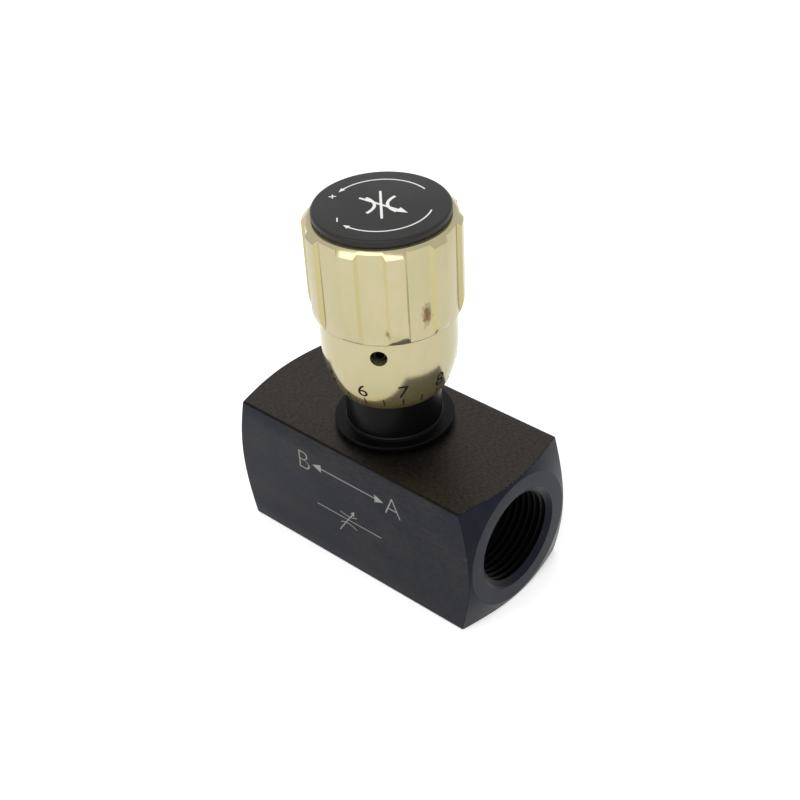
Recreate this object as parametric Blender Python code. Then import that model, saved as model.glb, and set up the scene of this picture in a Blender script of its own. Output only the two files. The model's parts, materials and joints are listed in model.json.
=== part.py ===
"""Inline flow control valve: a square steel body with a port at each end, a screwed-in bonnet,
a throttle spindle that a ribbed knob turns, and the seals, fasteners and locking screw between them.

Z is up and the flow runs along X. The origin is the middle of the body's underside, and the
spindle's axis is the Z axis. The valve is drawn closed, with the spindle at the end of its travel.
Sizes are in millimetres and become metres where the meshes are made.
"""

import math

import bmesh
import bpy
from mathutils import Matrix, Vector

MM = 0.001
# Clearance between two pieces that touch or slide on each other.
GAP = 0.3
# How far a cutter runs past the face that it opens.
PAST = 1.0

# Body: 1.5 inch square bar with turned ends and taper pipe ports.
BODY_LENGTH = 79.4
BODY_SIDE = 38.1
PORT_HEIGHT = BODY_SIDE / 2
END_RING_R = 18.19
END_CONE = math.radians(20)
PORT_MOUTH_R = 13.94
PORT_MOUTH_DEPTH = 1.2
PORT_BORE_R = 12.3
PORT_TAPER = 1 / 32
PORT_DEPTH = 19.0
DRILL_TIP = math.radians(31)
DRILL_TIP_SHARE = 0.45

# Flow passages inside the body.
PASSAGE_R = 4.4
PASSAGE_END_X = 2.0
UPPER_PASSAGE_Z = 23.5
LOWER_PASSAGE_Z = 12.0
SEAT_R = 5.5
SEAT_Z = 18.0
SEAT_CHAMFER = 1.0
WELL_BOTTOM_Z = 7.0
WELL_TIP_HEIGHT = 1.5
CHAMBER_R = 10.0
CHAMBER_FLOOR_Z = 19.0
BODY_THREAD_R = 11.3
BODY_THREAD_Z = 33.8
COUNTERBORE_R = 12.9
COUNTERBORE_Z = 36.6

# Bonnet: the guide for the spindle, with a flange and a collar that the knob's skirt slides over.
BONNET_BOTTOM_Z = 28.0
BONNET_CHAMFER = 0.5
BONNET_LAND_R = CHAMBER_R - GAP
BONNET_SHANK_R = BODY_THREAD_R - GAP
BONNET_SEAT_R = 14.2
FLANGE_R = 15.34
FLANGE_BOTTOM_Z = 39.4
FLANGE_TOP_Z = 40.51
FLANGE_CHAMFER = 0.35
COLLAR_R = 12.16
COLLAR_STEP_R = 12.5
COLLAR_STEP_HEIGHT = 0.5
COLLAR_CHAMFER = 0.4
COLLAR_TOP_Z = 63.0
NECK_R = 10.9
NECK_TOP_Z = 76.0
LAND_GROOVE = (28.9, 33.1)
LAND_GROOVE_R = 7.9
LAND_LIP = 0.6
PISTON_BORE_R = 7.2
PISTON_BORE_TOP_Z = 45.6
PISTON_BORE_ROOF = 0.8
WIPER_GROOVE = (70.6, 73.8)
WIPER_GROOVE_R = 7.2
SPANNER_HOLE_R = 1.25
SPANNER_HOLE_RING_R = 8.9
SPANNER_HOLE_DEPTH = 2.0

# Spindle: throttling nose, sealing piston, screw thread and square drive, in one piece.
NOSE_R = SEAT_R - 0.4
NOSE_BOTTOM_Z = 13.5
NOSE_CHAMFER = 1.2
SEAT_CLEARANCE = 0.45
STEM_R = 6.0
PISTON_R = PISTON_BORE_R - GAP
PISTON_Z = (30.0, 39.0)
PISTON_CHAMFER = 0.8
PISTON_GROOVE = (31.7, 36.4)
PISTON_GROOVE_R = 4.9
THREAD_R = 5.0
THREAD_Z = (43.0, 68.0)
SHAFT_R = 4.7
SQUARE_SIDE = 6.6
SQUARE_BOTTOM_Z = 76.6
SPINDLE_TOP_Z = 87.7
TAPPED_HOLE_R = 2.6
TAPPED_HOLE_DEPTH = 13.0
NOTCH_DEPTH = 3.2

# Knob: skirt with a rounded lower end, ribbed grip, chamfered top.
SKIRT_BOTTOM_Z = 51.0
SKIRT_BOTTOM_R = 12.9
SKIRT_R = 17.0
SKIRT_CURVE_TOP_Z = 65.0
SKIRT_FULLNESS = 1.9
SKIRT_ROUNDNESS = 0.7
GRIP_BOTTOM_Z = 72.5
GRIP_ROUND_HEIGHT = 4.8
GRIP_R = 19.0
GRIP_TOP_Z = 98.3
GRIP_CHAMFER = 1.65
RIBS = 10
RIB_TOP_ANGLE = math.radians(13.2)
RIB_BASE_ANGLE = math.radians(17.4)
RIB_DIRECTION = math.radians(-39.0)
FLUTE_FLOOR_R = 18.05
SKIRT_BORE_R = COLLAR_R + GAP
SKIRT_BORE_TOP_Z = COLLAR_TOP_Z + 0.6
NECK_BORE_R = NECK_R + GAP
WEB_Z = (77.0, 88.0)
WEB_HOLE_SIDE = SQUARE_SIDE + 2 * GAP
RECESS_R = 15.2

# Knob fastening under the cap.
WASHER_OUTER_R = 5.0
WASHER_INNER_R = 2.9
WASHER_THICKNESS = 1.2
SCREW_HEAD_R = 4.25
SCREW_HEAD_HEIGHT = 5.0
SCREW_SHANK_R = TAPPED_HOLE_R - GAP
SCREW_LENGTH = 12.0
SCREW_EDGE = 0.4
SCREW_SOCKET_R = 2.3
SCREW_SOCKET_DEPTH = 2.5

# Cap pressed into the top of the knob.
CAP_R = 16.63
CAP_TOP_Z = 100.35
CAP_EDGE_R = 1.1
CAP_PLUG_R = RECESS_R - GAP
CAP_PLUG_WALL = 1.6
CAP_PLUG_CHAMFER = 0.5
CAP_PLUG_BOTTOM_Z = 94.8

# Locking screw in the skirt, with the soft pad that it presses on the bonnet's neck.
LOCK_Z = 68.7
LOCK_DIRECTION = math.radians(-56.2)
LOCK_HOLE_R = 2.1
LOCK_PIECE_R = LOCK_HOLE_R - GAP
LOCK_POINT_CHAMFER = 0.4
LOCK_HEAD_CHAMFER = 0.3
PAD_INNER_R = NECK_BORE_R
PAD_THICKNESS = 0.8
LOCK_SCREW_INNER_R = PAD_INNER_R + PAD_THICKNESS + GAP
LOCK_SCREW_LENGTH = 3.0
LOCK_SOCKET_R = 1.15
LOCK_SOCKET_DEPTH = 1.4

# Seals: height of each ring's middle, or of its two faces.
SEAL_SECTION_R = 0.85
STEM_SEAL_R = 6.05
STEM_SEAL_Z = 34.05
STEM_BACKUPS = {"stem_backup_ring_lower": (32.0, 32.9), "stem_backup_ring_upper": (35.2, 36.1)}
STEM_BACKUP_R = (5.2, PISTON_R)
BONNET_SEAL_SECTION_R = 0.75
BONNET_SEAL_R = 8.95
BONNET_SEAL_Z = 31.0
BONNET_BACKUPS = {"bonnet_backup_ring_lower": (29.2, 29.9), "bonnet_backup_ring_upper": (32.1, 32.8)}
BONNET_BACKUP_R = (8.2, BONNET_LAND_R)
FLANGE_SEAL_SECTION_R = 0.6
FLANGE_SEAL_R = 12.0
FLANGE_SEAL_Z = 37.5

# Sides of the turned shapes, by size.
FINE = 60
MEDIUM = 40
COARSE = 24
SMALL = 16
SEAL_SECTION_SIDES = 8

COLOURS = {
    "black_oxide_steel": ((0.045, 0.046, 0.048), 0.42, 0.85),
    "blackened_bonnet": ((0.012, 0.012, 0.013), 0.38, 0.6),
    "yellow_chromate": ((0.72, 0.66, 0.42), 0.28, 1.0),
    "black_plastic": ((0.022, 0.021, 0.021), 0.45, 0.0),
    "ground_steel": ((0.55, 0.55, 0.56), 0.25, 1.0),
    "screw_steel": ((0.06, 0.06, 0.065), 0.4, 0.8),
    "seal_rubber": ((0.015, 0.015, 0.015), 0.6, 0.0),
    "backup_plastic": ((0.85, 0.84, 0.8), 0.5, 0.0),
    "wiper_polymer": ((0.05, 0.12, 0.3), 0.5, 0.0),
    "brass": ((0.6, 0.42, 0.16), 0.3, 1.0),
}


def clear_scene():
    for thing in list(bpy.data.objects):
        bpy.data.objects.remove(thing)


def make_materials():
    made = {}
    for name, (colour, roughness, metallic) in COLOURS.items():
        material = bpy.data.materials.new(name)
        material.use_nodes = True
        shader = material.node_tree.nodes["Principled BSDF"]
        shader.inputs["Base Color"].default_value = (*colour, 1.0)
        shader.inputs["Roughness"].default_value = roughness
        shader.inputs["Metallic"].default_value = metallic
        made[name] = material
    return made


def add_object(name, mesh_builder, material=None, origin=Vector()):
    """Turns a bmesh, in metres, into an object whose origin is at a point given in millimetres."""
    origin = Vector(origin) * MM
    bmesh.ops.recalc_face_normals(mesh_builder, faces=mesh_builder.faces)
    bmesh.ops.translate(mesh_builder, verts=mesh_builder.verts, vec=-origin)
    mesh = bpy.data.meshes.new(name)
    mesh_builder.to_mesh(mesh)
    mesh_builder.free()
    mesh.shade_smooth()
    mesh.set_sharp_from_angle(angle=math.radians(30))
    made = bpy.data.objects.new(name, mesh)
    made.location = origin
    bpy.context.scene.collection.objects.link(made)
    if material:
        mesh.materials.append(material)
    return made


def turned(outline, sides):
    """A bmesh turned about the Z axis from (radius, height) points in millimetres."""
    shape = bmesh.new()
    points = [shape.verts.new((radius * MM, 0, height * MM)) for radius, height in outline]
    edges = []
    for start, end in zip(points, points[1:] + points[:1]):
        if start.co.x > 0 or end.co.x > 0:
            edges.append(shape.edges.new((start, end)))
    bmesh.ops.spin(
        shape,
        geom=points + edges,
        cent=(0, 0, 0),
        axis=(0, 0, 1),
        angle=math.tau,
        steps=sides,
        use_merge=True,
    )
    bmesh.ops.remove_doubles(shape, verts=shape.verts, dist=0.001 * MM)
    return shape


def prism(outline, bottom, top):
    """A bmesh of an upright prism on (x, y) points, between two heights, in millimetres."""
    shape = bmesh.new()
    base = shape.faces.new([shape.verts.new((x * MM, y * MM, bottom * MM)) for x, y in outline])
    grown = bmesh.ops.extrude_face_region(shape, geom=[base])["geom"]
    raised = [part for part in grown if isinstance(part, bmesh.types.BMVert)]
    bmesh.ops.translate(shape, verts=raised, vec=(0, 0, (top - bottom) * MM))
    return shape


def polygon(radius, count, turn=0.0):
    step = math.tau / count
    return [(radius * math.cos(turn + k * step), radius * math.sin(turn + k * step)) for k in range(count)]


def square(side):
    return polygon(side / math.sqrt(2), 4, math.pi / 4)


def aim(shape, direction, start):
    """Lays a shape built along Z along another direction, from a point in millimetres."""
    turn = Vector((0, 0, 1)).rotation_difference(Vector(direction)).to_matrix().to_4x4()
    place = Matrix.Translation(Vector(start) * MM) @ turn
    bmesh.ops.transform(shape, matrix=place, verts=shape.verts)
    return shape


def as_cutter(name, shape):
    cutter = add_object(name, shape)
    cutter.hide_render = True
    cutter.display_type = "WIRE"
    return cutter


def combine(target, cutter, operation="DIFFERENCE"):
    change = target.modifiers.new(cutter.name, "BOOLEAN")
    change.operation = operation
    change.object = cutter


def ring(name, radii, heights, material, sides=COARSE):
    inner, outer = radii
    bottom, top = heights
    outline = [(inner, bottom), (outer, bottom), (outer, top), (inner, top)]
    return add_object(name, turned(outline, sides), material, (0, 0, bottom))


def seal(name, radius, height, section_r, material):
    outline = [(radius + x, height + z) for x, z in polygon(section_r, SEAL_SECTION_SIDES)]
    return add_object(name, turned(outline, COARSE), material, (0, 0, height))


def body_blank():
    """The bar, turned at both ends to a flat ring and a shallow cone that runs out over the corners."""
    half = BODY_LENGTH / 2
    corner_r = BODY_SIDE
    shoulder = half - (corner_r - END_RING_R) * math.tan(END_CONE)
    outline = [
        (0, -half),
        (END_RING_R, -half),
        (corner_r, -shoulder),
        (corner_r, shoulder),
        (END_RING_R, half),
        (0, half),
    ]
    turning = aim(turned(outline, FINE), (1, 0, 0), (0, 0, PORT_HEIGHT))
    section = prism(square(BODY_SIDE), -half - PAST, half + PAST)
    return aim(section, (1, 0, 0), (0, 0, PORT_HEIGHT)), turning


def port_bore():
    """One port: a countersunk mouth, a taper thread drawn at its minor diameter, and the drill's tip."""
    end_r = PORT_BORE_R - PORT_DEPTH * PORT_TAPER
    tip = end_r * math.tan(DRILL_TIP) * DRILL_TIP_SHARE
    flare = (PORT_MOUTH_R - PORT_BORE_R) / PORT_MOUTH_DEPTH
    outline = [
        (0, -PAST),
        (PORT_MOUTH_R + flare * PAST, -PAST),
        (PORT_BORE_R, PORT_MOUTH_DEPTH),
        (end_r, PORT_DEPTH),
        (end_r - tip / math.tan(DRILL_TIP), PORT_DEPTH + tip),
        (0, PORT_DEPTH + tip),
    ]
    return turned(outline, MEDIUM)


def spindle_well():
    """The stepped hole down from the top: counterbore, bonnet thread, chamber, seat and lower well."""
    outline = [
        (0, WELL_BOTTOM_Z - WELL_TIP_HEIGHT),
        (SEAT_R, WELL_BOTTOM_Z),
        (SEAT_R, SEAT_Z),
        (SEAT_R + SEAT_CHAMFER, CHAMBER_FLOOR_Z),
        (CHAMBER_R, CHAMBER_FLOOR_Z),
        (CHAMBER_R, BODY_THREAD_Z - (BODY_THREAD_R - CHAMBER_R)),
        (BODY_THREAD_R, BODY_THREAD_Z),
        (BODY_THREAD_R, COUNTERBORE_Z),
        (COUNTERBORE_R, COUNTERBORE_Z),
        (COUNTERBORE_R, BODY_SIDE + PAST),
        (0, BODY_SIDE + PAST),
    ]
    return turned(outline, MEDIUM)


def make_body(material):
    blank, turning = body_blank()
    body = add_object("valve_body", blank, material)
    combine(body, as_cutter("turned_ends", turning), "INTERSECT")
    combine(body, as_cutter("spindle_well", spindle_well()))
    half = BODY_LENGTH / 2
    for side, name, passage_z in ((1, "port_a", UPPER_PASSAGE_Z), (-1, "port_b", LOWER_PASSAGE_Z)):
        bore = aim(port_bore(), (-side, 0, 0), (side * half, 0, PORT_HEIGHT))
        combine(body, as_cutter(f"{name}_bore", bore))
        passage_start = half - PORT_DEPTH + PAST
        passage = prism(polygon(PASSAGE_R, COARSE), 0, passage_start - PASSAGE_END_X)
        aim(passage, (-side, 0, 0), (side * passage_start, 0, passage_z))
        combine(body, as_cutter(f"{name}_passage", passage))
    return body


def make_bonnet(material):
    wiper_bottom, wiper_top = WIPER_GROOVE
    land_bottom, land_top = LAND_GROOVE
    inner_r = THREAD_R + GAP
    outline = [
        (PISTON_BORE_R, BONNET_BOTTOM_Z),
        (BONNET_LAND_R - BONNET_CHAMFER, BONNET_BOTTOM_Z),
        (BONNET_LAND_R, BONNET_BOTTOM_Z + BONNET_CHAMFER),
        (BONNET_LAND_R, land_bottom),
        (LAND_GROOVE_R, land_bottom),
        (LAND_GROOVE_R, land_top),
        (BONNET_LAND_R, land_top),
        (BONNET_LAND_R, land_top + LAND_LIP),
        (BONNET_SHANK_R, BODY_THREAD_Z + GAP),
        (BONNET_SHANK_R, BODY_SIDE + GAP),
        (BONNET_SEAT_R, BODY_SIDE + GAP),
        (BONNET_SEAT_R, FLANGE_BOTTOM_Z),
        (FLANGE_R, FLANGE_BOTTOM_Z),
        (FLANGE_R, FLANGE_TOP_Z - FLANGE_CHAMFER),
        (FLANGE_R - FLANGE_CHAMFER, FLANGE_TOP_Z),
        (COLLAR_STEP_R, FLANGE_TOP_Z),
        (COLLAR_R, FLANGE_TOP_Z + COLLAR_STEP_HEIGHT),
        (COLLAR_R, COLLAR_TOP_Z - COLLAR_CHAMFER),
        (COLLAR_R - COLLAR_CHAMFER, COLLAR_TOP_Z),
        (NECK_R, COLLAR_TOP_Z),
        (NECK_R, NECK_TOP_Z - BONNET_CHAMFER),
        (NECK_R - BONNET_CHAMFER, NECK_TOP_Z),
        (inner_r, NECK_TOP_Z),
        (inner_r, wiper_top),
        (WIPER_GROOVE_R, wiper_top),
        (WIPER_GROOVE_R, wiper_bottom),
        (inner_r, wiper_bottom),
        (inner_r, PISTON_BORE_TOP_Z + PISTON_BORE_ROOF),
        (PISTON_BORE_R, PISTON_BORE_TOP_Z),
    ]
    bonnet = add_object("bonnet", turned(outline, MEDIUM), material, (0, 0, FLANGE_BOTTOM_Z))
    for index, side in enumerate((1, -1)):
        hole = prism(polygon(SPANNER_HOLE_R, SMALL), NECK_TOP_Z - SPANNER_HOLE_DEPTH, NECK_TOP_Z + PAST)
        bmesh.ops.translate(hole, verts=hole.verts, vec=(side * SPANNER_HOLE_RING_R * MM, 0, 0))
        combine(bonnet, as_cutter(f"spanner_hole_{index + 1}", hole))
    return bonnet


def make_spindle(material):
    groove_bottom, groove_top = PISTON_GROOVE
    piston_bottom, piston_top = PISTON_Z
    thread_bottom, thread_top = THREAD_Z
    cone_top_z = SEAT_Z + STEM_R - SEAT_R + SEAT_CLEARANCE
    outline = [
        (0, NOSE_BOTTOM_Z),
        (NOSE_R - NOSE_CHAMFER, NOSE_BOTTOM_Z),
        (NOSE_R, NOSE_BOTTOM_Z + NOSE_CHAMFER),
        (NOSE_R, cone_top_z - (STEM_R - NOSE_R)),
        (STEM_R, cone_top_z),
        (STEM_R, piston_bottom - (PISTON_R - STEM_R)),
        (PISTON_R, piston_bottom),
        (PISTON_R, groove_bottom),
        (PISTON_GROOVE_R, groove_bottom),
        (PISTON_GROOVE_R, groove_top),
        (PISTON_R, groove_top),
        (PISTON_R, piston_top - PISTON_CHAMFER),
        (PISTON_R - PISTON_CHAMFER, piston_top),
        (SHAFT_R, piston_top),
        (SHAFT_R, thread_bottom),
        (THREAD_R, thread_bottom + THREAD_R - SHAFT_R),
        (THREAD_R, thread_top - THREAD_R + SHAFT_R),
        (SHAFT_R, thread_top),
        (SHAFT_R, SPINDLE_TOP_Z),
        (0, SPINDLE_TOP_Z),
    ]
    spindle = add_object("spindle", turned(outline, COARSE), material, (0, 0, NOSE_BOTTOM_Z))
    hole_bottom = SPINDLE_TOP_Z - TAPPED_HOLE_DEPTH
    tapped_hole = prism(polygon(TAPPED_HOLE_R, SMALL), hole_bottom, SPINDLE_TOP_Z + PAST)
    combine(spindle, as_cutter("spindle_tapped_hole", tapped_hole))
    outer = polygon(2 * SHAFT_R, 4, math.pi / 4)
    drive = prism(outer, SQUARE_BOTTOM_Z, SPINDLE_TOP_Z + PAST)
    drive_object = as_cutter("drive_square_waste", drive)
    kept = prism(square(SQUARE_SIDE), SQUARE_BOTTOM_Z - PAST, SPINDLE_TOP_Z + 2 * PAST)
    combine(drive_object, as_cutter("drive_square", kept))
    combine(spindle, drive_object)
    return spindle


def cut_throttle_notches(spindle):
    """Two opposed V notches that deepen towards the nose, so that the flow starts gently."""
    reach = NOSE_R + PAST
    below = NOSE_BOTTOM_Z - PAST
    for index, side in enumerate((1, -1)):
        notch = bmesh.new()
        tip = notch.verts.new((side * reach * MM, 0, SEAT_Z * MM))
        root = notch.verts.new((side * (NOSE_R - NOTCH_DEPTH) * MM, 0, below * MM))
        left = notch.verts.new((side * reach * MM, -NOTCH_DEPTH * MM, below * MM))
        right = notch.verts.new((side * reach * MM, NOTCH_DEPTH * MM, below * MM))
        for corners in ((tip, root, left), (tip, root, right), (tip, left, right), (root, left, right)):
            notch.faces.new(corners)
        combine(spindle, as_cutter(f"throttle_notch_{index + 1}", notch))


def skirt_curve(count=9):
    """The rounded lower end of the skirt, fuller than an ellipse, from the bottom upwards."""
    points = []
    for step in range(count + 1):
        share = 1 - math.cos(math.pi / 2 * step / count)
        bulge = (1 - (1 - share) ** SKIRT_FULLNESS) ** SKIRT_ROUNDNESS
        radius = SKIRT_BOTTOM_R + (SKIRT_R - SKIRT_BOTTOM_R) * bulge
        points.append((radius, SKIRT_BOTTOM_Z + (SKIRT_CURVE_TOP_Z - SKIRT_BOTTOM_Z) * share))
    return points


def grip_curve(count=5):
    """The rounded lower end of the ribs, from the skirt outwards."""
    points = []
    for step in range(count + 1):
        turn = math.pi / 2 * step / count
        radius = SKIRT_R + (GRIP_R - SKIRT_R) * math.sin(turn)
        height = GRIP_BOTTOM_Z + GRIP_ROUND_HEIGHT * (1 - math.cos(turn))
        points.append((radius, height))
    return points


def arc(radius, start, end, count):
    turns = [start + (end - start) * step / count for step in range(count + 1)]
    return [(radius * math.cos(turn), radius * math.sin(turn)) for turn in turns]


def flute_cutter():
    """All the flutes between the ribs, whose sides lean, as curved blocks outside the floor of the flutes."""
    shape = bmesh.new()
    steps = 4
    outside_r = GRIP_R + PAST
    lean = (RIB_BASE_ANGLE - RIB_TOP_ANGLE) / 2 / (GRIP_R - FLUTE_FLOOR_R)
    half_floor = (math.tau / RIBS - RIB_BASE_ANGLE) / 2
    half_rim = half_floor + lean * (outside_r - FLUTE_FLOOR_R)
    for index in range(RIBS):
        middle = RIB_DIRECTION + (index + 0.5) * math.tau / RIBS
        floor = arc(FLUTE_FLOOR_R, middle - half_floor, middle + half_floor, steps)
        rim = arc(outside_r, middle + half_rim, middle - half_rim, steps)
        flute = prism(floor + rim, GRIP_BOTTOM_Z - PAST, GRIP_TOP_Z + PAST)
        mesh = bpy.data.meshes.new("flute")
        flute.to_mesh(mesh)
        flute.free()
        shape.from_mesh(mesh)
        bpy.data.meshes.remove(mesh)
    return shape


def make_knob(material):
    web_bottom, web_top = WEB_Z
    outline = [
        (SKIRT_BORE_R, SKIRT_BOTTOM_Z),
        *skirt_curve(),
        *grip_curve(),
        (GRIP_R, GRIP_TOP_Z - GRIP_CHAMFER),
        (GRIP_R - GRIP_CHAMFER, GRIP_TOP_Z),
        (RECESS_R, GRIP_TOP_Z),
        (RECESS_R, web_top),
        (0, web_top),
        (0, web_bottom),
        (NECK_BORE_R, web_bottom),
        (NECK_BORE_R, SKIRT_BORE_TOP_Z + SKIRT_BORE_R - NECK_BORE_R),
        (SKIRT_BORE_R, SKIRT_BORE_TOP_Z),
    ]
    knob = add_object("knob_shell", turned(outline, FINE), material, (0, 0, SKIRT_BOTTOM_Z))
    combine(knob, as_cutter("flutes", flute_cutter()))
    web_hole = prism(square(WEB_HOLE_SIDE), web_bottom - PAST, web_top + PAST)
    combine(knob, as_cutter("web_hole", web_hole))
    lock_hole = prism(polygon(LOCK_HOLE_R, COARSE), NECK_R - PAST, GRIP_R + PAST)
    combine(knob, as_cutter("lock_screw_hole", along_lock_axis(lock_hole)))
    return knob


def along_lock_axis(shape):
    """Lays a shape built along Z along the locking screw's axis, so that its heights become radii."""
    return aim(shape, lock_direction(), (0, 0, LOCK_Z))


def lock_direction():
    return Vector((math.cos(LOCK_DIRECTION), math.sin(LOCK_DIRECTION), 0))


def lock_point(radius):
    return Vector((0, 0, LOCK_Z)) + lock_direction() * radius


def make_lock_pieces(screw_material, pad_material):
    pad_end = PAD_INNER_R + PAD_THICKNESS
    pad = along_lock_axis(prism(polygon(LOCK_PIECE_R, SMALL), PAD_INNER_R, pad_end))
    add_object("lock_pad", pad, pad_material, lock_point(PAD_INNER_R))
    end = LOCK_SCREW_INNER_R + LOCK_SCREW_LENGTH
    outline = [
        (0, LOCK_SCREW_INNER_R),
        (LOCK_PIECE_R - LOCK_POINT_CHAMFER, LOCK_SCREW_INNER_R),
        (LOCK_PIECE_R, LOCK_SCREW_INNER_R + LOCK_POINT_CHAMFER),
        (LOCK_PIECE_R, end - LOCK_HEAD_CHAMFER),
        (LOCK_PIECE_R - LOCK_HEAD_CHAMFER, end),
        (0, end),
    ]
    screw_shape = along_lock_axis(turned(outline, SMALL))
    screw = add_object("lock_screw", screw_shape, screw_material, lock_point(LOCK_SCREW_INNER_R))
    socket = along_lock_axis(prism(polygon(LOCK_SOCKET_R, 6), end - LOCK_SOCKET_DEPTH, end + PAST))
    combine(screw, as_cutter("lock_screw_socket", socket))


def make_knob_fastening(steel, black_steel):
    washer_bottom = WEB_Z[1] + GAP
    washer_top = washer_bottom + WASHER_THICKNESS
    ring("knob_washer", (WASHER_INNER_R, WASHER_OUTER_R), (washer_bottom, washer_top), steel, COARSE)
    seat = washer_top + GAP
    top = seat + SCREW_HEAD_HEIGHT
    outline = [
        (0, seat - SCREW_LENGTH),
        (SCREW_SHANK_R, seat - SCREW_LENGTH),
        (SCREW_SHANK_R, seat),
        (SCREW_HEAD_R, seat),
        (SCREW_HEAD_R, top - SCREW_EDGE),
        (SCREW_HEAD_R - SCREW_EDGE, top),
        (0, top),
    ]
    screw = add_object("knob_screw", turned(outline, COARSE), black_steel, (0, 0, seat))
    socket = prism(polygon(SCREW_SOCKET_R, 6), top - SCREW_SOCKET_DEPTH, top + PAST)
    combine(screw, as_cutter("knob_screw_socket", socket))


def make_cap(material):
    """A thin disc with a rounded rim, on a short tube that presses into the knob's recess."""
    bottom = GRIP_TOP_Z + GAP
    rim = []
    steps = 4
    for step in range(steps + 1):
        turn = math.pi / 2 * step / steps
        radius = CAP_R - CAP_EDGE_R * (1 - math.cos(turn))
        rim.append((radius, CAP_TOP_Z - CAP_EDGE_R * (1 - math.sin(turn))))
    outline = [
        (0, bottom),
        (CAP_PLUG_R - CAP_PLUG_WALL, bottom),
        (CAP_PLUG_R - CAP_PLUG_WALL, CAP_PLUG_BOTTOM_Z),
        (CAP_PLUG_R - CAP_PLUG_CHAMFER, CAP_PLUG_BOTTOM_Z),
        (CAP_PLUG_R, CAP_PLUG_BOTTOM_Z + CAP_PLUG_CHAMFER),
        (CAP_PLUG_R, bottom),
        (CAP_R, bottom),
        *rim,
        (0, CAP_TOP_Z),
    ]
    add_object("knob_cap", turned(outline, FINE), material, (0, 0, bottom))


def make_seals(rubber, backup, wiper):
    seal("flange_o_ring", FLANGE_SEAL_R, FLANGE_SEAL_Z, FLANGE_SEAL_SECTION_R, rubber)
    seal("bonnet_o_ring", BONNET_SEAL_R, BONNET_SEAL_Z, BONNET_SEAL_SECTION_R, rubber)
    seal("stem_o_ring", STEM_SEAL_R, STEM_SEAL_Z, SEAL_SECTION_R, rubber)
    for name, heights in BONNET_BACKUPS.items():
        ring(name, BONNET_BACKUP_R, heights, backup)
    for name, heights in STEM_BACKUPS.items():
        ring(name, STEM_BACKUP_R, heights, backup)
    bottom, top = WIPER_GROOVE
    ring("stem_wiper", (THREAD_R + GAP, WIPER_GROOVE_R - GAP), (bottom + GAP, top - GAP), wiper)


def main():
    clear_scene()
    materials = make_materials()
    make_body(materials["black_oxide_steel"])
    make_bonnet(materials["blackened_bonnet"])
    spindle = make_spindle(materials["ground_steel"])
    cut_throttle_notches(spindle)
    make_knob(materials["yellow_chromate"])
    make_lock_pieces(materials["screw_steel"], materials["brass"])
    make_knob_fastening(materials["ground_steel"], materials["screw_steel"])
    make_cap(materials["black_plastic"])
    make_seals(materials["seal_rubber"], materials["backup_plastic"], materials["wiper_polymer"])


main()
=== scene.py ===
"""Looks for the inline flow control valve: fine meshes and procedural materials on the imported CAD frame.

Sizes below are in millimetres in the part's frame: the origin is the middle of the body's underside,
X runs along the flow and Z along the spindle. Each visible piece stands for one CAD node and rides on
that node's body, so the knob, the seals and the locking screw move as the CAD says.
"""

import json
import math

import bmesh
import bpy
from mathutils import Matrix, Vector


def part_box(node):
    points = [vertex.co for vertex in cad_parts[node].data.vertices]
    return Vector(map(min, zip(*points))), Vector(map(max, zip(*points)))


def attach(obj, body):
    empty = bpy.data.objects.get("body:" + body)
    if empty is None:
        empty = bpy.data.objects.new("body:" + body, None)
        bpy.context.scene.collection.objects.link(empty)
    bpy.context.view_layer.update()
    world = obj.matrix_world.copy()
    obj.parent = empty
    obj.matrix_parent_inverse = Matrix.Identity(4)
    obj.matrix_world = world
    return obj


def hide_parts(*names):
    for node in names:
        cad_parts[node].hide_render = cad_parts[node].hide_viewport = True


MM = 0.001

# Body.
BODY_LENGTH = 79.4
BODY_SIDE = 38.1
AXIS_Z = BODY_SIDE / 2
BODY_EDGE = 0.5
END_RING_R = 18.19
END_CONE = math.radians(20)
MOUTH_R = 13.94
MOUTH_DEPTH = 1.2
THREAD_MINOR_R = 12.15
THREAD_DEPTH = 1.1
THREAD_PITCH = 25.4 / 14
THREAD_START = -1.6
THREAD_LENGTH = 15.5
# Where the thread's profile bends, in shares of a pitch, and how deep it is there.
THREAD_PROFILE = ((0.0, 0.0), (0.14, 0.0), (0.5, 1.0), (0.64, 1.0))
THREAD_FADE_IN = 0.5
THREAD_FADE_OUT = 3.0
PORT_TAPER = 1 / 32
PORT_DEPTH = 19.0
DRILL_TIP_SHARE = 0.55
DRILL_TIP_HEIGHT = 0.27
PASSAGE_R = 4.4
PASSAGE_LENGTH = 20.0
PASSAGE_START_X = 22.0
UPPER_PASSAGE_Z = 23.5
LOWER_PASSAGE_Z = 12.0
ENGRAVED_DEPTH = 0.12
SYMBOL_WIDTH = 0.34
LETTER_HEIGHT = 5.6
LETTER_WEIGHT = -0.02

# Bore in the body's top for the spindle and the bonnet.
WELL_BOTTOM_Z = 7.0
WELL_TIP_HEIGHT = 1.5
SEAT_R = 5.5
SEAT_Z = 18.0
SEAT_CHAMFER = 1.0
CHAMBER_R = 10.0
CHAMBER_FLOOR_Z = 19.0
BODY_THREAD_R = 11.3
BODY_THREAD_Z = 33.8
COUNTERBORE_R = 12.9
COUNTERBORE_Z = 36.6
TOP_BORE_R = 13.5

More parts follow.
